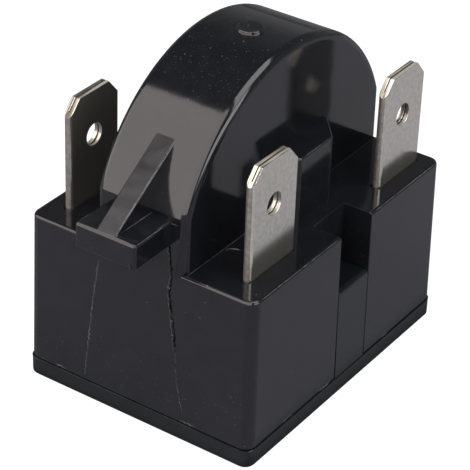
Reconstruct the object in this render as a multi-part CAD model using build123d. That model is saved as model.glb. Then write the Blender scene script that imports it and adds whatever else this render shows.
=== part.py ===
from build123d import *
from math import radians, sqrt, tan
import os

# Compressor start relay. A moulded housing carries a drum that holds a ceramic pill on edge,
# a base plate closes it from below, three folded blades stand out of the flat top, and two
# split sockets behind round holes in the base plate take the compressor's pins.
# Millimetres. The origin is the middle of the base plate's underside and +Z is up.
# X runs along the drum's axis, and Y along the longer side of the body.

# Body: outline at the underside, and the walls
body_x = 23.0
body_y = 29.3
body_top = 16.1
draft = 0.8
corner_r = 1.0
top_edge_r = 0.3
top_mark_x = 5.8
top_mark_y = -9.4
top_mark_d = 2.0
top_mark_depth = 0.08
wall = 1.2
roof = 1.5
seam_bevel = 0.12

# Drum that stands on the flat top
drum_mid_x = 0.15
drum_w = 9.0
drum_r = 15.4
drum_rise = 14.9
drum_end_wall = 1.3
drum_rim_wall = 1.5
drum_bevel = 0.45
gate_d = 2.2
gate_rise = 0.25

# Shelf on the long wall, with the rib that props it against the drum
shelf_mid_x = 0.33
shelf_w = 5.95
shelf_reach = 4.95
shelf_rise = 4.8
shelf_t = 2.35
shelf_bevel = 0.2
rib_mid_x = 0.3
rib_w = 1.95
rib_setback = 0.2
rib_rise = 5.15
rib_bevel = 0.1

# Key slot in the +X wall, and the splayed block above it on the drum's end
slot_mid_y = 0.65
slot_w = 4.7
slot_depth = 3.0
slot_back_wall = 1.1
block_reach = 2.35
block_splay = 2.7
block_rise = 5.9
block_bevel = 0.12

# Base plate
plate_t = 1.8
plate_proud = 0.05
plate_bevel = 0.25
tongue_h = 8.8
tongue_gap = 0.08
tongue_edge_r = 0.4
rim_h = 1.5
rim_t = 0.9
rim_gap = 0.06
cradle_reach = 4.0
cradle_h = 6.0

# Compressor pins and the sockets that grip them
pin_x = 5.75
pin_pitch = 13.2
socket_bore = 3.2
socket_wall = 0.45
socket_gap = 0.3
socket_neck_wall = 0.25
neck_gap = 0.02
socket_flange_d = 4.6
socket_flange_t = 0.4
socket_rim_d = 4.3
socket_rim_t = 0.3
socket_slot_w = 0.5
socket_slot_l = 5.5
pin_hole_d = 3.9
pin_funnel = 0.5
collar_gap = 0.1
collar_t = 0.8
collar_h = 1.2
clip_rise = 2.3
clip_h = 1.6
clip_t = 0.35
clip_gap = 0.02
clip_groove = 0.12
clip_opening = 50

# Blades: each is one sheet folded back on itself at the -Y edge
blade_w = 6.3
leaf_t = 0.35
fold_gap = 0.1
blade_rise = 10.0
blade_foot = 3.7
tip_run = 1.2
tip_drop = 1.37
blade_hole_d = 2.0
blade_hole_drop = 4.15
blade_slot_gap = 0.08
line_inset_x = 2.3
run_inset_x = 2.77
start_inset_x = 2.31
pair_inset_y = 2.65
start_inset_y = 1.59

# Legs of the terminals inside the body
leg_drop = 5.1
bend_r = 0.3
arm_w = 3.9
flange_half = 3.9
start_flange_near = 1.8
flange_rise = 9.6
link_w = 2.3
link_edge_inset = 0.1
link_t = 0.4
rivet_d = 1.3
rivet_head_d = 2.2
rivet_head_t = 0.4
rivet_head_gap = 0.2
rivet_gap = 0.02

# Pill and the two leaf contacts that press on it
pill_d = 19.0
pill_t = 3.0
pill_drop = 0.9
pill_gap = 0.1
pill_rib_w = 2.0
pill_rib_t = 2.6
pill_rib_angles = (25, 90, 155)
contact_t = 0.25
contact_h = 7.6
contact_root = 1.4
contact_pad_from = 4.6
contact_pad_to = 6.0
contact_lip = 7.0
contact_lip_drop = 0.4
contact_bend_r = 0.5
contact_fingers = 3
finger_gap = 0.8

# How far a cut runs past what it cuts, and how far two stretches of one sheet lap before they join
over = 1.0
lap = 1.0

# Places that follow from the sizes above
lean = tan(radians(draft))
half_y_top = body_y / 2 - body_top * lean
drum_top = body_top + drum_rise
drum_axis_z = drum_top - drum_r
drum_left = drum_mid_x - drum_w / 2
drum_right = drum_mid_x + drum_w / 2
chamber_left = drum_left + drum_end_wall
chamber_right = drum_right - drum_end_wall
shelf_top = body_top + shelf_rise
shelf_wall_y = body_y / 2 - shelf_top * lean
slot_back_x = body_x / 2 - slot_depth
slot_near = slot_mid_y - slot_w / 2
slot_far = slot_mid_y + slot_w / 2
blade_t = 2 * leaf_t + fold_gap
blade_top = body_top + blade_rise
line_x = -body_x / 2 + line_inset_x
run_x = body_x / 2 - run_inset_x
start_x = body_x / 2 - start_inset_x
pair_y = -body_y / 2 + pair_inset_y
start_y = body_y / 2 - start_inset_y - blade_w
leg_z = body_top - leg_drop
pill_z = body_top - pill_drop
pill_left = drum_mid_x - pill_t / 2
pill_right = drum_mid_x + pill_t / 2
socket_r = socket_bore / 2 + socket_wall
neck_r = socket_bore / 2 + socket_neck_wall
run_pin_y = slot_mid_y - pin_pitch / 2
start_pin_y = slot_mid_y + pin_pitch / 2
socket_foot = plate_t + socket_gap
link_y = (pair_y + link_edge_inset, pair_y + link_edge_inset + link_w)
rivet_y = sum(link_y) / 2
line_rivet_x = chamber_left - arm_w + rivet_head_d / 2
run_rivet_x = run_x - blade_t - bend_r - rivet_head_gap - rivet_head_d / 2


def block_between(x, y, z):
    """Box from three pairs of limits."""
    size = (x[1] - x[0], y[1] - y[0], z[1] - z[0])
    return Pos((x[0] + x[1]) / 2, (y[0] + y[1]) / 2, (z[0] + z[1]) / 2) * Box(*size)


def upright(x, y, radius, low, high):
    """Round bar standing on a point of the plan."""
    return Pos(x, y, (low + high) / 2) * Cylinder(radius, high - low)


def wheel(radius, left, right, z):
    """Round bar along X."""
    return Pos((left + right) / 2, 0, z) * Rot(0, 90, 0) * Cylinder(radius, right - left)


def envelope(inset, low, high):
    """The body's outline drawn in by inset, leaning with the draft, between two heights."""
    block = extrude(Rectangle(body_x - 2 * inset, body_y - 2 * inset), high, taper=draft)
    corners = block.edges() - edges_at(block, Axis.Z, 0) - edges_at(block, Axis.Z, high)
    block = fillet(corners, corner_r)
    return split(block, Plane.XY.offset(low), keep=Keep.TOP) if low > 0 else block


def edges_at(shape, axis, value, reach=0.01):
    """Edges that lie whole at one place along an axis."""
    return shape.edges().filter_by_position(axis, value - reach, value + reach)


def drum_solid():
    """Round drum cut flush with the long walls, so each side is flat low down and round above."""
    high = drum_top + over
    bar = wheel(drum_r, drum_left, drum_right, drum_axis_z)
    drum = bar & envelope(0, plate_t, high)
    rims = edges_at(drum, Axis.X, drum_left) + edges_at(drum, Axis.X, drum_right)
    drum = chamfer(rims - edges_at(drum, Axis.Z, plate_t), drum_bevel)
    gate = upright(drum_mid_x, 0, gate_d / 2, drum_top - drum_rim_wall / 2, drum_top + gate_rise)
    return drum + gate


def drum_reach_y(z):
    """How far the round of the drum reaches along Y at a height."""
    return sqrt(drum_r**2 - (z - drum_axis_z) ** 2)


def shelf_solid():
    """Flat shelf that stands out of the wall below the round of the drum."""
    front = -shelf_wall_y - shelf_reach
    seat = min(shelf_wall_y, drum_reach_y(shelf_top))
    x = (shelf_mid_x - shelf_w / 2, shelf_mid_x + shelf_w / 2)
    y = (front, -seat + drum_rim_wall / 2)
    shelf = block_between(x, y, (shelf_top - shelf_t, shelf_top))
    outer = shelf.edges().filter_by(lambda e: e.center().Y < y[1] - 0.01)
    return chamfer(outer, shelf_bevel)


def rib_solid():
    """Prop between the shelf's front and the round of the drum."""
    front = -shelf_wall_y - shelf_reach + rib_setback
    high = shelf_top + rib_rise
    meet = -drum_reach_y(high)
    root = meet + drum_rim_wall / 2
    slope = rib_rise / (meet - front)
    low = shelf_top - shelf_t / 2
    side = Polyline(
        (front, low), (front, shelf_top), (root, high + slope * (root - meet)), (root, low), close=True
    )
    rib = extrude(Plane.YZ * make_face(side), rib_w / 2, both=True)
    rib = Pos(rib_mid_x, 0, 0) * rib
    crests = rib.edges().filter_by(lambda e: e.center().Z > shelf_top + 1 and e.center().Y < meet)
    return chamfer(crests, rib_bevel)


def splayed(front_x, half_front, half_back, low, high):
    """Prism on the drum's +X end, as wide as half_back there and narrower in front."""
    plan = Polyline(
        (drum_right - drum_end_wall / 2, slot_mid_y - half_back),
        (drum_right, slot_mid_y - half_back),
        (front_x, slot_mid_y - half_front),
        (front_x, slot_mid_y + half_front),
        (drum_right, slot_mid_y + half_back),
        (drum_right - drum_end_wall / 2, slot_mid_y + half_back),
        close=True,
    )
    return Pos(0, 0, low) * extrude(make_face(plan), high - low)


def splayed_block():
    """Block above the key slot that keeps the connectors of the two +X blades apart."""
    high = body_top + block_rise
    half = slot_w / 2
    block = splayed(drum_right + block_reach, half, half + block_splay, body_top - roof / 2, high)
    tops = edges_at(block, Axis.Z, high).filter_by(lambda e: e.center().X > drum_right)
    return chamfer(tops, block_bevel)


def splayed_core():
    """Hollow inside the block, open to the body below."""
    half = slot_w / 2 - wall / 2
    front_x = drum_right + block_reach - wall
    low = body_top - roof - over
    core = splayed(front_x, half, half + block_splay / 2, low, body_top + block_rise - wall)
    return core & block_between((drum_right, body_x), (-body_y, body_y), (0, drum_top))


def chamber_solid():
    """Room inside the drum, with the drum's rim and end walls left around it."""
    room = wheel(drum_r - drum_rim_wall, chamber_left, chamber_right, drum_axis_z)
    return room & envelope(drum_rim_wall, plate_t, drum_top)


def pill_ribs():
    """Three ribs that reach in from the drum's rim to the pill's edge."""
    ys = (pill_d / 2 + pill_gap, 2 * drum_r)
    rib = block_between((-pill_rib_t / 2, pill_rib_t / 2), ys, (-pill_rib_w / 2, pill_rib_w / 2))
    place = Pos(drum_mid_x, 0, pill_z)
    rim = drum_rim_wall / 2
    limit = wheel(drum_r - rim, drum_left, drum_right, drum_axis_z) & envelope(rim, plate_t, drum_top)
    return [limit & (place * Rot(angle, 0, 0) * rib) for angle in pill_rib_angles]


def blade_slot(x, y):
    """Opening in the flat top that a blade passes through."""
    grow = blade_slot_gap
    xs = (x - blade_t / 2 - grow, x + blade_t / 2 + grow)
    return block_between(xs, (y - grow, y + blade_w + grow), (body_top - roof - over, body_top + over))


def housing_part():
    """Moulded housing: body, drum, shelf, rib and block in one piece, open below."""
    body = envelope(0, plate_t, body_top)
    body = fillet(edges_at(body, Axis.Z, body_top), top_edge_r)
    body = chamfer(edges_at(body, Axis.Z, plate_t), seam_bevel)
    shell = body + drum_solid() + shelf_solid() + rib_solid() + splayed_block()
    shell -= envelope(wall, 0, body_top - roof)
    shell -= chamber_solid()
    shell -= splayed_core()
    shroud = block_between(
        (slot_back_x - slot_back_wall, body_x / 2),
        (slot_near - slot_back_wall, slot_far + slot_back_wall),
        (plate_t, body_top - roof / 2),
    )
    shell += shroud & envelope(wall / 2, plate_t, body_top - roof / 2)
    for rib in pill_ribs():
        shell += rib
    shell -= block_between((slot_back_x, body_x), (slot_near, slot_far), (0, body_top + over))
    shell -= upright(top_mark_x, top_mark_y, top_mark_d / 2, body_top - top_mark_depth, body_top + over)
    for x, y in ((line_x, pair_y), (run_x, pair_y), (start_x, start_y)):
        shell -= blade_slot(x, y)
    return shell


def tongue_solid():
    """Tongue that fills the lower part of the key slot, flush with the wall outside."""
    xs = (slot_back_x + tongue_gap, body_x)
    ys = (slot_near + tongue_gap, slot_far - tongue_gap)
    tongue = block_between(xs, ys, (plate_t / 2, plate_t + tongue_h)) & envelope(0, 0, body_top)
    return fillet(edges_at(tongue, Axis.Z, plate_t + tongue_h).sort_by(Axis.X)[-1], tongue_edge_r)


def rim_solid():
    """Low wall that centres the plate inside the housing, broken at the key slot."""
    high = plate_t + rim_h
    rim = envelope(wall + rim_gap, plate_t / 2, high) - envelope(wall + rim_gap + rim_t, 0, high + over)
    grow = slot_back_wall + rim_gap
    gate = ((0, body_x), (slot_near - grow, slot_far + grow), (0, high + over))
    return rim - block_between(*gate)


def cradle_solid():
    """Saddle under the pill's edge."""
    xs = (drum_mid_x - pill_rib_t / 2, drum_mid_x + pill_rib_t / 2)
    post = block_between(xs, (-cradle_reach, cradle_reach), (plate_t / 2, plate_t + cradle_h))
    return post - wheel(pill_d / 2 + pill_gap, xs[0] - over, xs[1] + over, pill_z)


def base_plate_part():
    """Plate with the tongue, the centring rim, the pill's saddle and the two pin holes."""
    plate = extrude(RectangleRounded(body_x + 2 * plate_proud, body_y + 2 * plate_proud, corner_r), plate_t)
    plate = chamfer(edges_at(plate, Axis.Z, 0), plate_bevel)
    plate = chamfer(edges_at(plate, Axis.Z, plate_t), seam_bevel)
    plate += tongue_solid()
    plate += rim_solid()
    plate += cradle_solid()
    for y in (run_pin_y, start_pin_y):
        bore = socket_r + collar_gap
        plate += upright(pin_x, y, bore + collar_t, plate_t / 2, plate_t + collar_h)
        plate -= upright(pin_x, y, bore, plate_t, plate_t + collar_h + over)
        plate -= upright(pin_x, y, pin_hole_d / 2, -over, plate_t + over)
        plate -= Pos(pin_x, y, pin_funnel / 2) * Cone(
            pin_hole_d / 2 + pin_funnel, pin_hole_d / 2, pin_funnel
        )
    return plate


def folded_blade(x, y, foot, short_side):
    """Blade with its fold at the low-Y edge. The leaf on short_side ends above the leg."""
    half = blade_t / 2
    low = body_top - blade_foot
    plan = Pos(x, y + half) * Circle(half)
    plan += Pos(x, y + (half + blade_w) / 2) * Rectangle(blade_t, blade_w - half)
    slit = Pos(x, y + half) * Circle(fold_gap / 2)
    slit += Pos(x, y + (half + blade_w) / 2 + over) * Rectangle(fold_gap, blade_w - half + 2 * over)
    blade = Pos(0, 0, foot) * extrude(plan - slit, blade_top - foot)
    for near, away in ((y, -1), (y + blade_w, 1)):
        corner = Polyline(
            (near - away * tip_run, blade_top),
            (near, blade_top - tip_drop),
            (near + away * over, blade_top - tip_drop),
            (near + away * over, blade_top + over),
            (near - away * tip_run, blade_top + over),
            close=True,
        )
        blade -= Pos(x, 0, 0) * extrude(Plane.YZ * make_face(corner), blade_t, both=True)
    hole_z = blade_top - blade_hole_drop
    blade -= Pos(x, y + blade_w / 2, hole_z) * Rot(0, 90, 0) * Cylinder(blade_hole_d / 2, 2 * blade_t)
    xs = sorted((x + short_side * fold_gap / 2, x + short_side * blade_t))
    return blade - block_between(xs, (y - over, y + blade_w + over), (foot - over, low))


def sheet_section(points, thickness, radius, side):
    """Section of a bent sheet: a line with rounded bends, thickened to one side."""
    line = FilletPolyline(*points, radius=radius)
    return make_face(offset(line, thickness, side=side).edges())


def bent_strip(points, ys, side):
    """Sheet bent along a line in the XZ plane, on one side of it, and as wide as ys."""
    section = Plane.XZ * sheet_section(points, leaf_t, bend_r + leaf_t, side)
    return Pos(0, ys[1], 0) * extrude(section, ys[1] - ys[0], dir=(0, -1, 0))


def blade_drop(x, y, toward, reach):
    """The long leaf's way down and round into the leg, on the side that toward points to."""
    outer = x + toward * fold_gap / 2
    points = [(outer, body_top - blade_foot), (outer, leg_z), (reach, leg_z)]
    return bent_strip(points, (y + blade_t / 2, y + blade_w), Side.LEFT if toward > 0 else Side.RIGHT)


def contact_flange(wall_x, into, ys, reach):
    """Arm that turns up against the drum's end wall. The chamber lies on the into side of it."""
    outer = wall_x + into * leaf_t
    points = [(reach, leg_z), (outer, leg_z), (outer, leg_z + flange_rise)]
    return bent_strip(points, ys, Side.LEFT if into > 0 else Side.RIGHT)


def leg_plate(xs, ys):
    """Flat stretch of a terminal at the height of the legs."""
    return block_between(xs, ys, (leg_z, leg_z + leaf_t))


def line_terminal_part():
    """-X blade, and its arm to the wall behind the pill's -X face."""
    turn = bend_r + leaf_t
    blade = folded_blade(line_x, pair_y, body_top - blade_foot, -1)
    drop = blade_drop(line_x, pair_y, 1, chamber_left - turn)
    arm_ys = (-flange_half, flange_half)
    arm_root = chamber_left - arm_w
    arm = contact_flange(chamber_left, 1, arm_ys, arm_root)
    joint = leg_plate((arm_root, chamber_left - turn), (pair_y + blade_t / 2, -flange_half + lap))
    terminal = blade + drop + arm + joint
    return terminal - rivet_hole(line_rivet_x)


def run_terminal_part():
    """+X blade nearest the shelf, with the eye that holds its socket."""
    low_y = run_pin_y + socket_flange_d / 2
    edge = pin_x - socket_flange_d / 2
    blade = folded_blade(run_x, pair_y, body_top - blade_foot, 1)
    drop = blade_drop(run_x, pair_y, -1, edge)
    eye = leg_plate((edge, run_x - blade_t - bend_r), (pair_y + blade_w - lap, low_y))
    terminal = blade + drop + eye
    terminal -= upright(pin_x, run_pin_y, neck_r + neck_gap, leg_z - over, leg_z + over)
    return terminal - rivet_hole(run_rivet_x)


def start_terminal_part():
    """Far +X blade, the eye that holds its socket, and the arm to the pill's +X face."""
    turn = bend_r + leaf_t
    near_y = start_pin_y - socket_flange_d / 2
    blade = folded_blade(start_x, start_y, body_top - blade_foot, 1)
    drop = blade_drop(start_x, start_y, -1, pin_x - socket_flange_d / 2)
    eye = leg_plate((pin_x - socket_flange_d / 2, start_x - blade_t - bend_r), (near_y, start_y + lap))
    arm_ys = (-start_flange_near, near_y + lap)
    arm = contact_flange(chamber_right, -1, arm_ys, chamber_right + turn + lap)
    joint = leg_plate((chamber_right + turn, slot_back_x - slot_back_wall - 0.8), arm_ys)
    terminal = blade + drop + eye + arm + joint
    return terminal - upright(pin_x, start_pin_y, neck_r + neck_gap, leg_z - over, leg_z + over)


def rivet_hole(x):
    """Hole through a leg and the link below it."""
    return upright(x, rivet_y, rivet_d / 2 + rivet_gap, leg_z - link_t - over, leg_z + leaf_t + over)


def link_strip_part():
    """Strip that joins the run and line terminals, past the pill's edge."""
    ends = (line_rivet_x - link_w / 2, run_rivet_x + link_w / 2)
    strip = block_between(ends, link_y, (leg_z - link_t, leg_z))
    corners = strip.edges().filter_by(Axis.Z)
    strip = fillet(corners, link_w / 4)
    return strip - rivet_hole(line_rivet_x) - rivet_hole(run_rivet_x)


def rivet(x):
    """Rivet with a flat head at each end."""
    low = leg_z - link_t
    high = leg_z + leaf_t
    shank = upright(x, rivet_y, rivet_d / 2, low, high)
    head = upright(x, rivet_y, rivet_head_d / 2, high, high + rivet_head_t)
    foot = upright(x, rivet_y, rivet_head_d / 2, low - rivet_head_t, low)
    return shank + head + foot


def socket_part(y):
    """Split sleeve that grips one pin, spun over above the leg."""
    seat = leg_z - socket_flange_t
    neck = leg_z + leaf_t
    sleeve = upright(pin_x, y, socket_r, socket_foot, seat)
    sleeve += upright(pin_x, y, neck_r, seat, neck)
    sleeve += upright(pin_x, y, socket_flange_d / 2, seat, leg_z)
    sleeve += upright(pin_x, y, socket_rim_d / 2, neck, neck + socket_rim_t)
    groove_z = (socket_foot + clip_rise - clip_gap, socket_foot + clip_rise + clip_h + clip_gap)
    sleeve -= upright(pin_x, y, socket_r + over, *groove_z)
    sleeve += upright(pin_x, y, socket_r - clip_groove, *groove_z)
    sleeve -= upright(pin_x, y, socket_bore / 2, 0, neck + over)
    for turned in (45, 135):
        cut = Box(2 * socket_flange_d, socket_slot_w, socket_slot_l)
        sleeve -= Pos(pin_x, y, socket_foot + socket_slot_l / 2) * Rot(0, 0, turned) * cut
    mouth = sleeve.edges().filter_by(GeomType.CIRCLE).group_by(Axis.Z)[0]
    inner = mouth.filter_by(lambda e: e.radius < socket_r - 0.01)
    return chamfer(inner, socket_wall / 2)


def clip_part(y):
    """Spring ring that keeps the sleeve closed on the pin."""
    inner = socket_r - clip_groove + clip_gap
    low = socket_foot + clip_rise
    ring = upright(pin_x, y, inner + clip_t, low, low + clip_h)
    ring -= upright(pin_x, y, inner, low - over, low + clip_h + over)
    reach = 2 * (inner + clip_t)
    half = radians(clip_opening / 2)
    wedge = Polyline((0, 0), (-reach, -reach * tan(half)), (-reach, reach * tan(half)), close=True)
    return ring - Pos(pin_x, y, low - over) * extrude(make_face(wedge), clip_h + 2 * over)


def pill_part():
    """Ceramic pill standing on edge in the drum."""
    return wheel(pill_d / 2, pill_left, pill_right, pill_z)


def contact_part(wall_x, face_x):
    """Leaf contact: a root on the terminal's flange and pairs of fingers on the pill."""
    away = 1 if face_x > wall_x else -1
    depth = abs(face_x - wall_x) - contact_t
    half = [
        (contact_root, 0),
        (contact_pad_from, depth),
        (contact_pad_to, depth),
        (contact_lip, depth - contact_lip_drop),
    ]
    run = [(-y, u) for y, u in reversed(half)] + half
    points = [(wall_x + away * u, y) for y, u in run]
    section = sheet_section(points, contact_t, contact_bend_r, Side.RIGHT if away > 0 else Side.LEFT)
    low = pill_z - contact_h / 2
    leaf = Pos(0, 0, low) * extrude(section, contact_h)
    finger_h = (contact_h - (contact_fingers - 1) * finger_gap) / contact_fingers
    xs = sorted((wall_x - away * over, face_x + away * over))
    for i in range(contact_fingers - 1):
        z = low + (i + 1) * finger_h + i * finger_gap
        for ys in ((contact_root, contact_lip + over), (-contact_lip - over, -contact_root)):
            leaf -= block_between(xs, ys, (z, z + finger_gap))
    return leaf


def main():
    line_wall = chamber_left + leaf_t
    start_wall = chamber_right - leaf_t
    nodes = {
        "housing": housing_part(),
        "base_plate": base_plate_part(),
        "line_terminal": line_terminal_part(),
        "run_terminal": run_terminal_part(),
        "start_terminal": start_terminal_part(),
        "link_strip": link_strip_part(),
        "link_rivets": Compound([rivet(line_rivet_x), rivet(run_rivet_x)]),
        "run_socket": socket_part(run_pin_y),
        "start_socket": socket_part(start_pin_y),
        "run_socket_clip": clip_part(run_pin_y),
        "start_socket_clip": clip_part(start_pin_y),
        "ptc_pill": pill_part(),
        "line_contact": contact_part(line_wall, pill_left),
        "start_contact": contact_part(start_wall, pill_right),
    }
    os.makedirs("parts", exist_ok=True)
    for name, shape in nodes.items():
        export_step(shape, os.path.join("parts", name + ".step"))


main()
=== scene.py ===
import math
import random

import bmesh
import bpy
from mathutils import Matrix, Vector
from mathutils.bvhtree import BVHTree


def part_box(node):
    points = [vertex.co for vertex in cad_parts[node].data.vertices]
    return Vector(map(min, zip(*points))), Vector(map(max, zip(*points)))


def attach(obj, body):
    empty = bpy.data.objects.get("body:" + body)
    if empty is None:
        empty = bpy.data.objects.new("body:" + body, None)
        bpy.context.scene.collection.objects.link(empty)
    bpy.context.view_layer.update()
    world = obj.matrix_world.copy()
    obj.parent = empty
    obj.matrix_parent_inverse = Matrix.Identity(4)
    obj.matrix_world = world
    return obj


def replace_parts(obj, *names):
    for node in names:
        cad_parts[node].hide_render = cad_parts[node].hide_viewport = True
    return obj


# Compressor start relay: the looks of the imported model, in metres and in its own frame.
# Softened copies stand for the housing, the base plate and the three terminals, with the marks
# of moulding and handling that the photograph shows, and pale bars that paint highlights along
# some edges. The other nodes keep their own meshes.

mm = 0.001
random_seed = 7

# Camera of the photograph, with its angles in degrees
camera_place = (86.418 * mm, -130.169 * mm, 109.196 * mm)
camera_azimuth = 33.701
camera_elevation = 32.122
camera_roll = 2.221
camera_lens = 163.915
camera_clip = 0.01
sensor_width = 36.0

# Light: a softbox in front whose edges run along X, one at the right, one above that reaches over
# the part, and a sky that is pale at the horizon and dark above. Each box has a foot, a head,
# the way across it, a width, a radiance and a tint.
softboxes = {
    "front_box": ((-0.95, -0.6, 0.0), (-0.95, -0.315, 1.35), (1, 0, 0), 2.9, 3.9, (1.0, 0.9, 0.88)),
    "side_box": ((1.0, -0.05, 0.16), (1.0, -0.05, 0.72), (0, 1, 0), 0.9, 5.5, (1.0, 1.0, 1.0)),
    "high_box": ((0.95, 0.27, 1.0), (-0.05, 0.27, 1.2), (0, 1, 0), 0.78, 4.6, (1.0, 1.0, 1.0)),
}
horizon_radiance = 0.24
zenith_radiance = 0.055
sky_fade = (0.2, 0.74)

# Floor: it shines to the camera alone. Left of the part's +X wall and behind its -Y wall the paper
# is darker with painted shade, and that painted shade fades out between two X places and two Y places.
floor_size = 8.0
floor_colour = (0.222, 0.231, 0.257)
floor_shine = 0.95
shade_x = (11.8 * mm, 13.8 * mm)
shade_y = (-15.6 * mm, -14.8 * mm)
shade_share = 0.4

# Patterns of the materials: a noise has its waves to the metre and its detail, and specks have
# their cells to the metre and their radius in cells. A range is the stretch of a noise that counts.
noise_range = (0.3, 0.7)
mould_clouds = (600.0, 8.0)
mould_grain = (5200.0, 3.0)
mould_waves = (420.0, 1.0)
wave_height = 0.009 * mm
grain_share = 0.05
mottle_range = (0.32, 0.68)
mottle_shares = (0.88, 1.2)
gloss_shares = (0.85, 1.25)
coarse_dust = (2100.0, 0.17)
fine_dust = (4600.0, 0.24)
fine_plenty = 3.5
coarse_cover = 0.4
fine_cover = 0.2
dust_colour = (0.11, 0.108, 0.105)
dust_dullness = 0.3
dust_below = 0.12
dust_low = 27.2 * mm
dust_high = 29.5 * mm
# The same plastic, in a paler grey, paints highlights along edges on the burr bars
flash_index = 1.44
flash_nicks = (2600.0, 3.0)
flash_grain = (9000.0, 3.0)
nick_range = (0.52, 0.62)
flash_roughness = (0.3, 0.5)
rough_height = 0.004 * mm
rolled_lines = (3200.0, 4.0)
rolled_clouds = (2400.0, 6.0)
streak_range = (0.44, 0.56)
stain_range = (0.38, 0.62)
line_weight = 0.6
cloud_weight = 0.4
line_height = 0.0005 * mm
metal_shares = (0.8, 1.3)
pit_cells = 1400.0
pit_share = 0.2
pit_radius = 0.2
pit_shade = 0.4
ceramic_grain = (6000.0, 4.0)
ceramic_dark = (0.22, 0.21, 0.2)
ceramic_pale = (0.34, 0.33, 0.32)
ceramic_roughness = (0.45, 0.7)
paper_grain = (60.0, 3.0)
paper_shares = (0.985, 1.015)
paper_roughness = (0.9, 1.0)

# Sockets of a colour mixing node
first_colour = 6
second_colour = 7
mixed_colour = 2

# Mesh work on copies of the nodes
merge_reach = 0.001 * mm
flat_angle = math.radians(1.0)
edge_angle = math.radians(25.0)
small_face = 0.5 * mm * mm
small_turn = math.cos(math.radians(50.0))
large_turn = math.cos(math.radians(20.0))
least_share = 0.2
edge_profile = 0.5
plain_steps = 1
edge_steps = 2
rim_steps = 3
edge_width = 0.06 * mm
rim_width = 0.28 * mm
seam_edge = 0.1 * mm
corner_edge = 0.09 * mm
gate_edge = 0.11 * mm
plate_edge = 0.045 * mm
sheet_edge = 0.06 * mm
slit_edge = 0.03 * mm
slit_reach = 0.1 * mm

# Faces of a blade's edges: how far they turn from X, and how far the cut ones rise
cut_normal = 0.7
cut_rise = 0.3
folded_index = 1
cut_index = 2

# Places on the housing and the base plate
flat_top_z = 16.1 * mm
seam_z = 1.8 * mm
drum_middle_x = 0.15 * mm
drum_half_width = 4.5 * mm
drum_bevel = 0.45 * mm
drum_top = 31.0 * mm
drum_axis_z = 15.6 * mm
drum_radius = 15.4 * mm
round_reach = 0.01 * mm
facet_reach = 0.05 * mm
round_turn = math.radians(25.0)
gate_reach = 1.3 * mm
gate_shift = 0.2 * mm
gate_drop = 0.1 * mm
corner_reach = 0.05 * mm
shelf_z = 20.9 * mm
rib_x = 0.3 * mm
rib_side = 0.975 * mm
rib_half = 0.5 * mm
rib_rise = 5.15 * mm
rib_least = 4.0 * mm * mm
rib_normal = Vector((0.0, -0.555, 0.832))
rib_likeness = 0.1
rim_reach = 0.6 * mm
plate_lip = 0.09 * mm

# Tilt of the corner normals at the foot and the top of the rib's slope, in degrees
crown_foot = -1.25
crown_top = -2.7

# Marks down the long wall, each through these X and Z places in millimetres
left_line = (
    (-3.96, 14.6),
    (-4.2, 12.9),
    (-4.43, 11.5),
    (-4.62, 9.8),
    (-4.78, 8.2),
    (-5.12, 5.1),
    (-5.43, 2.0),
)
right_line = (
    (2.95, 19.2),
    (3.22, 17.2),
    (3.34, 15.7),
    (3.18, 14.4),
    (3.3, 12.9),
    (3.74, 10.2),
    (3.92, 7.8),
    (4.1, 5.6),
    (4.7, 3.1),
    (4.93, 2.05),
)

# Flash along the seam: whether it lies on the +X wall or the long one, and its ends there in
# millimetres, along the wall and up
seam_bits = (
    (False, ((-10.2, 2.06), (-9.6, 2.06))),
    (False, ((-8.6, 2.08), (-7.1, 2.06))),
    (False, ((4.5, 2.08), (6.5, 2.06))),
    (True, ((-9.4, 1.98), (-8.3, 1.98))),
    (True, ((-4.1, 1.97), (-2.2, 1.98))),
    (True, ((6.0, 1.98), (7.4, 1.97))),
)

# Burr bars on sharp edges, pale so that they paint the edges' highlights: both ends in millimetres,
# and the way out of the edge
highlight_burrs = (
    ((4.68, -14.3, 16.12), (4.68, -5.2, 16.12), (1, 0, 1)),
    ((3.24, -19.2, 20.84), (3.24, -14.7, 20.84), (1, 0, 1)),
    ((1.3, -18.6, 20.93), (1.3, -14.2, 20.93), (1, 0, 1)),
    ((1.25, -18.9, 21.03), (1.25, -11.9, 25.7), (0.6, -0.45, 0.66)),
    ((1.17, -18.9, 21.04), (1.17, -11.9, 25.71), (0.2, -0.53, 0.8)),
    ((11.2, -13.6, 16.02), (11.2, -1.9, 16.02), (1, 0, 1)),
    ((11.2, 3.2, 16.02), (11.2, 13.6, 16.02), (1, 0, 1)),
    ((4.9, -4.3, 21.95), (6.9, -1.8, 21.95), (0.6, -0.5, 0.7)),
    ((6.93, -1.6, 21.95), (6.93, 2.9, 21.95), (1, 0, 1)),
    ((3.35, -14.72, 20.8), (4.0, -14.66, 20.8), (0, -1, 1)),
)

# Bars that make the marks: steps along them, sections, and how much chance changes them
line_step = 0.22 * mm
line_sway = 0.065 * mm
cast_reach = 30 * mm
crack_width = 0.2 * mm
crack_depth = 0.2 * mm
crack_rise = 0.02 * mm
crack_swell = 1.5
crack_foot = 8.3 * mm
tear_head = 9.2 * mm
tear_width = 0.07 * mm
tear_height = 0.035 * mm
lip_offset = -0.2 * mm
lip_width = 0.1 * mm
ridge_width = 0.15 * mm
ridge_height = 0.06 * mm
ridge_swell = 1.2
flash_seat = 0.03 * mm
# Burr bars along edges, whose pale colour paints the edges' highlights
highlight_burr_step = 0.35 * mm
highlight_burr_least = 4
highlight_burr_width = 0.055 * mm
highlight_burr_height = 0.035 * mm
highlight_burr_seat = 0.02 * mm
swell_low = 6.5 * mm
swell_high = 13.5 * mm
taper_steps = 4
width_change = (0.55, 1.5)
height_change = (0.5, 1.3)
crest_sway = 0.4

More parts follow.
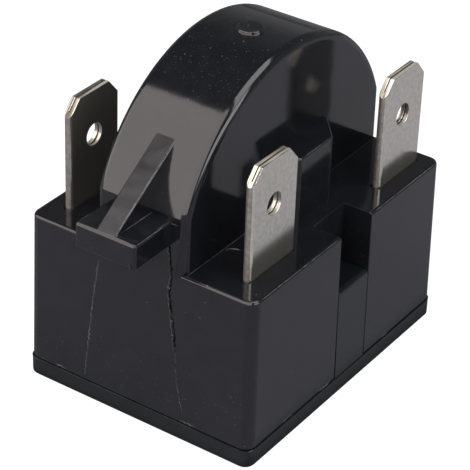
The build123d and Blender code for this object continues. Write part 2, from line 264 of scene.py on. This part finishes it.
random.seed(random_seed)
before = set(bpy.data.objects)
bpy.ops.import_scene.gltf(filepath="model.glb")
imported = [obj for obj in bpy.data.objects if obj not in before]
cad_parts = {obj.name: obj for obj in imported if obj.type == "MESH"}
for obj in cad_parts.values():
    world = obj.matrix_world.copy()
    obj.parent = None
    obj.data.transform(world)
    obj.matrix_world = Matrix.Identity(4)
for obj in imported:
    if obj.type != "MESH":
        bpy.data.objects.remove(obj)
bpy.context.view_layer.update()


def new_material(name):
    """Node material, its tree and its shader."""
    material = bpy.data.materials.new(name)
    material.use_nodes = True
    tree = material.node_tree
    return material, tree, tree.nodes["Principled BSDF"]


def object_place(tree, stretch=(1, 1, 1)):
    """Object coordinates, stretched along the axes."""
    place = tree.nodes.new("ShaderNodeTexCoord")
    mapping = tree.nodes.new("ShaderNodeMapping")
    mapping.inputs["Scale"].default_value = stretch
    tree.links.new(place.outputs["Object"], mapping.inputs["Vector"])
    return mapping.outputs["Vector"]


def axes_of(tree, place):
    """The three parts of a vector, by axis."""
    parts = tree.nodes.new("ShaderNodeSeparateXYZ")
    tree.links.new(place, parts.inputs["Vector"])
    return parts.outputs


def noise(tree, place, scale, detail):
    """Noise between 0 and 1, with scale waves to the metre."""
    node = tree.nodes.new("ShaderNodeTexNoise")
    node.inputs["Scale"].default_value = scale
    node.inputs["Detail"].default_value = detail
    tree.links.new(place, node.inputs["Vector"])
    return node.outputs["Fac"]


def spread(tree, value, low, high, to_low, to_high):
    """Value between low and high, spread over another range and held at its ends."""
    node = tree.nodes.new("ShaderNodeMapRange")
    node.inputs["From Min"].default_value = low
    node.inputs["From Max"].default_value = high
    node.inputs["To Min"].default_value = to_low
    node.inputs["To Max"].default_value = to_high
    tree.links.new(value, node.inputs["Value"])
    return node.outputs["Result"]


def combine(tree, operation, one, two):
    """Two values, or a value and a number, worked into one."""
    node = tree.nodes.new("ShaderNodeMath")
    node.operation = operation
    for socket, value in zip(node.inputs, (one, two)):
        if isinstance(value, (int, float)):
            socket.default_value = value
        else:
            tree.links.new(value, socket)
    return node.outputs["Value"]


def product(tree, one, two):
    """Two values, or a value and a number, multiplied."""
    return combine(tree, "MULTIPLY", one, two)


def blend_colours(tree, share, one, two):
    """Colour between two colours. Each is three numbers or another node's colour."""
    node = tree.nodes.new("ShaderNodeMix")
    node.data_type = "RGBA"
    tree.links.new(share, node.inputs["Factor"])
    for socket, colour in zip((node.inputs[first_colour], node.inputs[second_colour]), (one, two)):
        if isinstance(colour, tuple):
            socket.default_value = (*colour, 1)
        else:
            tree.links.new(colour, socket)
    return node.outputs[mixed_colour]


def scaled(colour, share):
    """A share of a colour."""
    return tuple(share * part for part in colour)


def specks(tree, place, scale, radius, share):
    """1 on small round specks. scale cells to the metre, of which a share holds one, radius in cells."""
    cells = tree.nodes.new("ShaderNodeTexVoronoi")
    cells.inputs["Scale"].default_value = scale
    tree.links.new(place, cells.inputs["Vector"])
    chosen = tree.nodes.new("ShaderNodeSeparateColor")
    tree.links.new(cells.outputs["Color"], chosen.inputs["Color"])
    held = combine(tree, "LESS_THAN", chosen.outputs["Red"], share)
    size = product(tree, chosen.outputs["Green"], radius)
    inside = combine(tree, "LESS_THAN", cells.outputs["Distance"], size)
    return product(tree, held, inside)


def add_bump(tree, shader, height, distance):
    """Bump on a shader from a height between 0 and 1."""
    node = tree.nodes.new("ShaderNodeBump")
    node.inputs["Distance"].default_value = distance
    tree.links.new(height, node.inputs["Height"])
    tree.links.new(node.outputs["Normal"], shader.inputs["Normal"])


def settled_dust(tree, place, dust):
    """How far pale dust covers a moulding. Most of it lies high up."""
    settled = spread(tree, axes_of(tree, place)["Z"], dust_low, dust_high, dust_below, 1.0)
    coarse = specks(tree, place, *coarse_dust, product(tree, settled, dust))
    fine = specks(tree, place, *fine_dust, product(tree, settled, fine_plenty * dust))
    return combine(tree, "MAXIMUM", product(tree, coarse, coarse_cover), product(tree, fine, fine_cover))


def moulded_plastic(name, colour, roughness, index, dust):
    """Glossy black moulding: slight waves, a faint mottle, cloudy gloss, and pale dust."""
    material, tree, shader = new_material(name)
    shader.inputs["IOR"].default_value = index
    place = object_place(tree)
    clouds = noise(tree, place, *mould_clouds)
    dusty = settled_dust(tree, place, dust)
    mottle = spread(tree, clouds, *mottle_range, 0.0, 1.0)
    dark, pale = (scaled(colour, share) for share in mottle_shares)
    body = blend_colours(tree, mottle, dark, pale)
    tree.links.new(blend_colours(tree, dusty, body, dust_colour), shader.inputs["Base Color"])
    gloss = spread(tree, clouds, *noise_range, *(share * roughness for share in gloss_shares))
    gloss = combine(tree, "ADD", gloss, product(tree, dusty, dust_dullness))
    tree.links.new(gloss, shader.inputs["Roughness"])
    grain = product(tree, noise(tree, place, *mould_grain), grain_share)
    height = combine(tree, "ADD", noise(tree, place, *mould_waves), grain)
    add_bump(tree, shader, height, wave_height)
    return material


def flash_and_highlight_plastic(name, colour, nick):
    """Matt plastic, paler than the moulding, with darker nicks: thin torn flash, and paler still, the bars
    that paint highlights along edges.
    """
    material, tree, shader = new_material(name)
    shader.inputs["IOR"].default_value = flash_index
    place = object_place(tree)
    nicks = spread(tree, noise(tree, place, *flash_nicks), *nick_range, 0.0, 1.0)
    tree.links.new(blend_colours(tree, nicks, colour, nick), shader.inputs["Base Color"])
    grain = noise(tree, place, *flash_grain)
    tree.links.new(spread(tree, grain, *noise_range, *flash_roughness), shader.inputs["Roughness"])
    add_bump(tree, shader, grain, rough_height)
    return material


def rolled_metal(name, colour, stain, roughness, stretch, metallic=0.96, streaked=False):
    """Bare or plated metal: lines of rolling along one axis, faint stains and small pits."""
    material, tree, shader = new_material(name)
    shader.inputs["Metallic"].default_value = metallic
    place = object_place(tree)
    lines = noise(tree, object_place(tree, stretch), *rolled_lines)
    clouds = noise(tree, place, *rolled_clouds)
    pits = specks(tree, place, pit_cells, pit_radius, pit_share)
    pattern, reach = (lines, streak_range) if streaked else (clouds, stain_range)
    body = blend_colours(tree, spread(tree, pattern, *reach, 0.0, 1.0), colour, stain)
    pitted = blend_colours(tree, pits, body, scaled(stain, pit_shade))
    tree.links.new(pitted, shader.inputs["Base Color"])
    mixed = combine(tree, "ADD", product(tree, lines, line_weight), product(tree, clouds, cloud_weight))
    gloss = spread(tree, mixed, *noise_range, *(share * roughness for share in metal_shares))
    tree.links.new(gloss, shader.inputs["Roughness"])
    add_bump(tree, shader, lines, line_height)
    return material


def fired_ceramic(name):
    """Grey ceramic with a fine grain."""
    material, tree, shader = new_material(name)
    grain = noise(tree, object_place(tree), *ceramic_grain)
    tree.links.new(blend_colours(tree, grain, ceramic_dark, ceramic_pale), shader.inputs["Base Color"])
    tree.links.new(spread(tree, grain, *noise_range, *ceramic_roughness), shader.inputs["Roughness"])
    add_bump(tree, shader, grain, rough_height)
    return material


def floor_paper(name):
    """Matt paper, darker with painted shade beside and behind the part. It shines to the camera alone, to
    look as white as a backdrop.
    """
    material, tree, shader = new_material(name)
    shader.inputs["Specular IOR Level"].default_value = 0.0
    place = object_place(tree)
    grain = noise(tree, place, *paper_grain)
    low, high = (scaled(floor_colour, share) for share in paper_shares)
    axes = axes_of(tree, place)
    # Painted shade: the paper is darker left of the +X wall and behind the -Y wall
    beside = spread(tree, axes["X"], *shade_x, 1.0, 0.0)
    behind = spread(tree, axes["Y"], *shade_y, 0.0, 1.0)
    paper = blend_colours(tree, grain, low, high)
    shade = scaled(floor_colour, shade_share)
    shaded = blend_colours(tree, product(tree, beside, behind), paper, shade)
    tree.links.new(shaded, shader.inputs["Base Color"])
    tree.links.new(spread(tree, grain, 0.0, 1.0, *paper_roughness), shader.inputs["Roughness"])
    sight = tree.nodes.new("ShaderNodeLightPath")
    shine = product(tree, sight.outputs["Is Camera Ray"], floor_shine)
    shader.inputs["Emission Color"].default_value = (1, 1, 1, 1)
    tree.links.new(shine, shader.inputs["Emission Strength"])
    return material


def add_object(name, data):
    """Object in the scene."""
    made = bpy.data.objects.new(name, data)
    bpy.context.scene.collection.objects.link(made)
    return made


def add_mesh(name, work):
    """Object made of an edited mesh."""
    mesh = bpy.data.meshes.new(name)
    work.to_mesh(mesh)
    work.free()
    return add_object(name, mesh)


def add_piece(name, work, material, smooth=True):
    """Piece made of an edited mesh, which rides on the body."""
    piece = add_mesh(name, work)
    piece.data.materials.append(material)
    if smooth:
        even_normals(piece.data)
    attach(piece, "root")
    return piece


def dress(node, material):
    """Gives a node of the model its material."""
    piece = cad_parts[node]
    piece.data.materials.clear()
    piece.data.materials.append(material)


def whole_faces(node):
    """Editable copy of a node's mesh, with its corners joined and its flat faces in one piece."""
    work = bmesh.new()
    work.from_mesh(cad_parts[node].data)
    bmesh.ops.remove_doubles(work, verts=work.verts, dist=merge_reach)
    bmesh.ops.dissolve_limit(work, angle_limit=flat_angle, verts=work.verts, edges=work.edges)
    return work


def soften(work, width, steps, chosen, inward=False):
    """Rounds the outward edges whose middle is chosen, and the inward ones too if asked."""
    edges = [e for e in work.edges if e.is_manifold and (inward or e.is_convex)]
    edges = [e for e in edges if e.calc_face_angle() > edge_angle]
    edges = [e for e in edges if chosen((e.verts[0].co + e.verts[1].co) / 2)]
    bmesh.ops.bevel(
        work,
        geom=edges,
        offset=width,
        offset_type="OFFSET",
        segments=steps,
        profile=edge_profile,
        affect="EDGES",
    )


def even_normals(mesh):
    """Corner normals that turn over small rounded faces and leave large flat ones flat."""
    around = [[] for vertex in mesh.vertices]
    for face in mesh.polygons:
        for corner in face.vertices:
            around[corner].append(face)
    normals = []
    for face in mesh.polygons:
        turn = small_turn if face.area < small_face else large_turn
        for corner in face.vertices:
            total = Vector()
            for other in around[corner]:
                if other.area > face.area * least_share and face.normal.dot(other.normal) > turn:
                    total += other.normal * other.area
            normals.append(total.normalized())
    mesh.shade_smooth()
    mesh.normals_split_custom_set(normals)


def at_seam(point):
    """Whether a point lies at the height where the housing meets the base plate."""
    return abs(point.z - seam_z) < merge_reach


def off_seam(point):
    """Whether a point lies clear of the seam and of its rounded edge."""
    return abs(point.z - seam_z) > seam_edge + merge_reach


def on_drum_rim(point):
    """Whether a point lies on one of the two bevels along the round of the drum."""
    inset = drum_half_width - abs(point.x - drum_middle_x)
    return -merge_reach < inset < drum_bevel + merge_reach and point.z > flat_top_z


def on_gate(point):
    """Whether a point lies on the gate mark."""
    reach = Vector((point.x - drum_middle_x, point.y)).length
    return point.z > drum_top - gate_drop and reach < gate_reach


def in_corner(point):
    """Whether a point lies where the drum's end meets the flat top, or the rib's side meets the shelf."""
    at_flat = abs(point.z - flat_top_z) < merge_reach
    at_drum = at_flat and abs(point.x - drum_middle_x - drum_half_width) < corner_reach
    at_shelf = abs(point.z - shelf_z) < merge_reach
    at_rib = at_shelf and abs(abs(point.x - rib_x) - rib_side) < corner_reach
    return at_drum or at_rib


def true_round(mesh):
    """Sets the corner normals on the round of the drum square to its axis."""
    normals = [Vector(corner.vector) for corner in mesh.corner_normals]
    for face in mesh.polygons:
        middle = Vector((0, face.center.y, face.center.z - drum_axis_z))
        if face.center.z < flat_top_z or abs(middle.length - drum_radius) > facet_reach:
            continue
        for k in face.loop_indices:
            place = mesh.vertices[mesh.loops[k].vertex_index].co
            out = Vector((0, place.y, place.z - drum_axis_z))
            if abs(out.length - drum_radius) < round_reach and normals[k].angle(out) < round_turn:
                normals[k] = out.normalized()
    mesh.normals_split_custom_set(normals)


def on_rib_slope(face):
    """Whether a face is the rib's sloping one."""
    share = (face.center.z - shelf_z) / rib_rise
    if face.area < rib_least or abs(face.center.x - rib_x) > rib_half or not 0 < share < 1:
        return False
    return (face.normal - rib_normal).length <= rib_likeness


def crown(mesh):
    """Tilts the corner normals of the rib's sloping face, so that it shines like a slightly crowned one."""
    normals = [Vector(corner.vector) for corner in mesh.corner_normals]
    for face in mesh.polygons:
        if not on_rib_slope(face):
            continue
        for k in face.loop_indices:
            z = mesh.vertices[mesh.loops[k].vertex_index].co.z
            share = (z - shelf_z) / rib_rise
            turn = Matrix.Rotation(math.radians(crown_foot + (crown_top - crown_foot) * share), 3, "X")
            normals[k] = turn @ normals[k]
    mesh.normals_split_custom_set(normals)


def carved(work, cutter):
    """Mesh with another closed mesh cut out of it."""
    block = add_mesh("carved", work)
    tool = add_mesh("cutter", cutter)
    change = block.modifiers.new("change", "BOOLEAN")
    change.operation = "DIFFERENCE"
    change.solver = "EXACT"
    change.object = tool
    bpy.context.view_layer.update()
    result = bmesh.new()
    result.from_object(block, bpy.context.evaluated_depsgraph_get())
    for made in (block, tool):
        shape = made.data
        bpy.data.objects.remove(made)
        bpy.data.meshes.remove(shape)
    return result


def wall_places(wall, line, on_side=False):
    """Wandering places along the long wall, or the +X one, in even steps, with its outward normal."""
    way = Vector((-1, 0, 0)) if on_side else Vector((0, 1, 0))
    points = []
    for along, z in line:
        points.append(Vector((0, along * mm, z * mm) if on_side else (along * mm, 0, z * mm)))
    places = []
    for start, end in zip(points, points[1:]):
        steps = max(1, round((end - start).length / line_step))
        drift = (end - start).normalized().cross(way) * line_sway
        for i in range(steps):
            point = start.lerp(end, i / steps) + drift * random.uniform(-1, 1)
            seat, normal = wall.ray_cast(point - way * cast_reach, way)[:2]
            places.append((seat, normal))
    return places


def straight_places(start, end, normal):
    """Even places along a straight edge, with one outward normal."""
    start = Vector(start) * mm
    end = Vector(end) * mm
    normal = Vector(normal).normalized()
    steps = max(highlight_burr_least, round((end - start).length / highlight_burr_step))
    return [(start.lerp(end, i / steps), normal) for i in range(steps + 1)]


def wandering_bar(places, width, inside, outside, swell=1.0):
    """Closed three-sided bar along places on a wall: two edges so far inside it, and one outside.

    A negative distance lies on the other side of the wall."""
    work = bmesh.new()
    rings = []
    way = (places[-1][0] - places[0][0]).normalized()
    for i, (seat, normal) in enumerate(places):
        taper = min(1, (i + 1) / taper_steps, (len(places) - i) / taper_steps)
        if swell_low < seat.z < swell_high:
            taper *= swell
        across = way.cross(normal) * (width / 2 * taper * random.uniform(*width_change))
        foot = seat - normal * inside
        crest = seat + normal * outside * min(1, taper) * random.uniform(*height_change)
        corners = (foot - across, foot + across, crest + across * random.uniform(-crest_sway, crest_sway))
        rings.append([work.verts.new(corner) for corner in corners])
    for one, two in zip(rings, rings[1:]):
        for k in range(3):
            m = (k + 1) % 3
            work.faces.new((one[k], one[m], two[m], two[k]))
    work.faces.new(rings[0][::-1])
    work.faces.new(rings[-1])
    bmesh.ops.recalc_face_normals(work, faces=work.faces)
    return work


def mark_bars(wall):
    """Bar that the crack is cut with, and by name the bars of the flash and the pale burr bars that paint
    highlights along edges.
    """
    right_places = wall_places(wall, right_line)
    upper_places = [place for place in right_places if place[0].z > crack_foot]
    lower_places = [place for place in right_places if place[0].z < tear_head]
    lip_places = [(seat + Vector((lip_offset, 0, 0)), normal) for seat, normal in upper_places]
    crack = wandering_bar(upper_places, crack_width, -crack_rise, -crack_depth, crack_swell)
    bars = {}
    bars["low_flash"] = wandering_bar(lower_places, tear_width, flash_seat, tear_height)
    bars["right_flash"] = wandering_bar(lip_places, lip_width, flash_seat, ridge_height)
    left_places = wall_places(wall, left_line)
    bars["left_flash"] = wandering_bar(left_places, ridge_width, flash_seat, ridge_height, ridge_swell)
    for k, (on_side, line) in enumerate(seam_bits):
        places = wall_places(wall, line, on_side)
        bars[f"seam_flash_{k}"] = wandering_bar(places, lip_width, flash_seat, ridge_height)
    for k, edge in enumerate(highlight_burrs):
        bars[f"edge_burr_{k}"] = wandering_bar(straight_places(*edge), highlight_burr_width, highlight_burr_seat, highlight_burr_height)
    return crack, bars


def make_housing(crack, black):
    """Housing with rounded edges, its gate mark a little further to +X, and the crack in its wall."""
    work = whole_faces("housing")
    for corner in work.verts:
        if on_gate(corner.co):
            corner.co.x += gate_shift
    soften(work, corner_edge, edge_steps, in_corner, True)
    soften(work, rim_width, rim_steps, on_drum_rim)
    soften(work, gate_edge, edge_steps, on_gate, True)
    soften(work, seam_edge, edge_steps, at_seam)
    soften(work, edge_width, edge_steps, off_seam)
    shell = add_piece("housing_shell", carved(work, crack), black)
    true_round(shell.data)
    crown(shell.data)
    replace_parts(shell, "housing")


def make_base_plate(base_black):
    """Base plate with rounded edges, and its upper rim further out so that the seam is a thin line."""
    work = whole_faces("base_plate")
    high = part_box("base_plate")[1]
    for corner in work.verts:
        at_rim = high[0] - abs(corner.co.x) < rim_reach or high[1] - abs(corner.co.y) < rim_reach
        if at_rim and at_seam(corner.co):
            corner.co.x *= 1 + plate_lip / high[0]
            corner.co.y *= 1 + plate_lip / high[1]
    soften(work, plate_edge, plain_steps, at_seam)
    soften(work, edge_width, edge_steps, off_seam)
    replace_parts(add_piece("base_plate_shell", work, base_black), "base_plate")


def make_terminal(node, plated, folded_edge, cut_edge):
    """Terminal with rounded edges, and the folded and cut edges of its blade in their own finish."""
    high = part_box(node)[1]
    work = whole_faces(node)
    crest = [v.co.x for v in work.verts if v.co.z > high[2] - merge_reach]
    blade_x = sum(crest) / len(crest)
    soften(work, sheet_edge, edge_steps, lambda point: abs(point.x - blade_x) > slit_reach)
    soften(
        work,
        slit_edge,
        plain_steps,
        lambda point: abs(point.x - blade_x) <= slit_reach and point.z > flat_top_z,
    )
    sheet = add_piece(node + "_sheet", work, plated)
    sheet.data.materials.append(folded_edge)
    sheet.data.materials.append(cut_edge)
    for face in sheet.data.polygons:
        if abs(face.normal.x) < cut_normal and face.center.z > flat_top_z:
            face.material_index = cut_index if face.normal.z > cut_rise else folded_index
    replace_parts(sheet, node)


def add_camera():
    """Camera at the photograph's place."""
    data = bpy.data.cameras.new("camera")
    data.lens = camera_lens
    data.sensor_width = sensor_width
    data.clip_start = camera_clip
    camera = add_object("camera", data)
    turn = Matrix.Rotation(math.radians(camera_azimuth), 4, "Z")
    turn @= Matrix.Rotation(math.radians(90 - camera_elevation), 4, "X")
    turn @= Matrix.Rotation(math.radians(camera_roll), 4, "Z")
    camera.matrix_world = Matrix.Translation(camera_place) @ turn
    bpy.context.scene.camera = camera


def add_floor():
    """Floor under the part."""
    mesh = bpy.data.meshes.new("floor")
    half = floor_size / 2
    corners = [(-half, -half, 0), (half, -half, 0), (half, half, 0), (-half, half, 0)]
    mesh.from_pydata(corners, [], [(0, 1, 2, 3)])
    mesh.materials.append(floor_paper("floor_paper"))
    add_object("floor", mesh)


def add_softbox(name, foot, head, across, width, radiance, tint):
    """Rectangular light between the middles of its lower and upper edges, which run along across."""
    foot = Vector(foot)
    head = Vector(head)
    across = Vector(across)
    rise = head - foot
    data = bpy.data.lights.new(name, "AREA")
    data.shape = "RECTANGLE"
    data.size = width
    data.size_y = rise.length
    data.energy = math.pi * data.size * data.size_y * radiance
    data.color = tint
    rise.normalize()
    turn = Matrix((across, rise, across.cross(rise))).transposed().to_4x4()
    add_object(name, data).matrix_world = Matrix.Translation((foot + head) / 2) @ turn


def add_sky():
    """Sky that is pale at the horizon and dark above."""
    world = bpy.data.worlds.new("sky")
    bpy.context.scene.world = world
    world.use_nodes = True
    tree = world.node_tree
    place = tree.nodes.new("ShaderNodeTexCoord")
    axes = axes_of(tree, place.outputs["Generated"])
    fade = spread(tree, axes["Z"], *sky_fade, horizon_radiance, zenith_radiance)
    tree.nodes["Background"].inputs["Color"].default_value = (1, 1, 1, 1)
    tree.links.new(fade, tree.nodes["Background"].inputs["Strength"])


add_camera()
add_floor()
add_sky()
for name, box in softboxes.items():
    add_softbox(name, *box)
bpy.context.scene.view_settings.view_transform = "Standard"

black = moulded_plastic(
    "housing_plastic", colour=(0.0046, 0.0051, 0.0066), roughness=0.10, index=1.44, dust=0.3
)
base_black = moulded_plastic(
    "base_plastic", colour=(0.0033, 0.0045, 0.0053), roughness=0.15, index=1.42, dust=0.05
)
plated = rolled_metal(
    "plated_sheet",
    colour=(0.69, 0.67, 0.595),
    stain=(0.57, 0.55, 0.485),
    roughness=0.18,
    stretch=(1, 1, 0.02),
)
folded_edge = rolled_metal(
    "folded_edge",
    colour=(0.27, 0.265, 0.25),
    stain=(0.19, 0.18, 0.16),
    roughness=0.4,
    stretch=(1, 1, 0.1),
    metallic=0.85,
)
cut_edge = rolled_metal(
    "cut_edge",
    colour=(0.5, 0.48, 0.41),
    stain=(0.07, 0.065, 0.055),
    roughness=0.4,
    stretch=(1, 0.04, 0.04),
    metallic=0.7,
    streaked=True,
)
torn = flash_and_highlight_plastic("torn_plastic", colour=(0.034, 0.037, 0.042), nick=(0.034, 0.03, 0.025))
# Pale grey that paints the highlights along the edges where the burr bars lie
burr = flash_and_highlight_plastic("burr_plastic", colour=(0.1, 0.1, 0.108), nick=(0.035, 0.035, 0.038))
rivet_metal = rolled_metal(
    "rivet_metal", colour=(0.5, 0.42, 0.25), stain=(0.42, 0.34, 0.2), roughness=0.3, stretch=(1, 1, 1)
)
socket_metal = rolled_metal(
    "socket_metal", colour=(0.55, 0.44, 0.24), stain=(0.45, 0.35, 0.18), roughness=0.28, stretch=(1, 1, 8)
)
spring_metal = rolled_metal(
    "spring_metal", colour=(0.6, 0.6, 0.6), stain=(0.5, 0.49, 0.47), roughness=0.3, stretch=(1, 1, 0.1)
)
ceramic = fired_ceramic("pill_ceramic")

walls = whole_faces("housing")
crack, bars = mark_bars(BVHTree.FromBMesh(walls))
walls.free()
# The burr bars take the pale plastic that paints edge highlights, the flash takes the torn plastic
for name, work in bars.items():
    add_piece(name, work, burr if "burr" in name else torn, False)

make_housing(crack, black)
make_base_plate(base_black)
for node in ("line_terminal", "run_terminal", "start_terminal"):
    make_terminal(node, plated, folded_edge, cut_edge)

dress("link_strip", plated)
dress("link_rivets", rivet_metal)
dress("ptc_pill", ceramic)
for node in ("run_socket", "start_socket"):
    dress(node, socket_metal)
for node in ("run_socket_clip", "start_socket_clip", "line_contact", "start_contact"):
    dress(node, spring_metal)
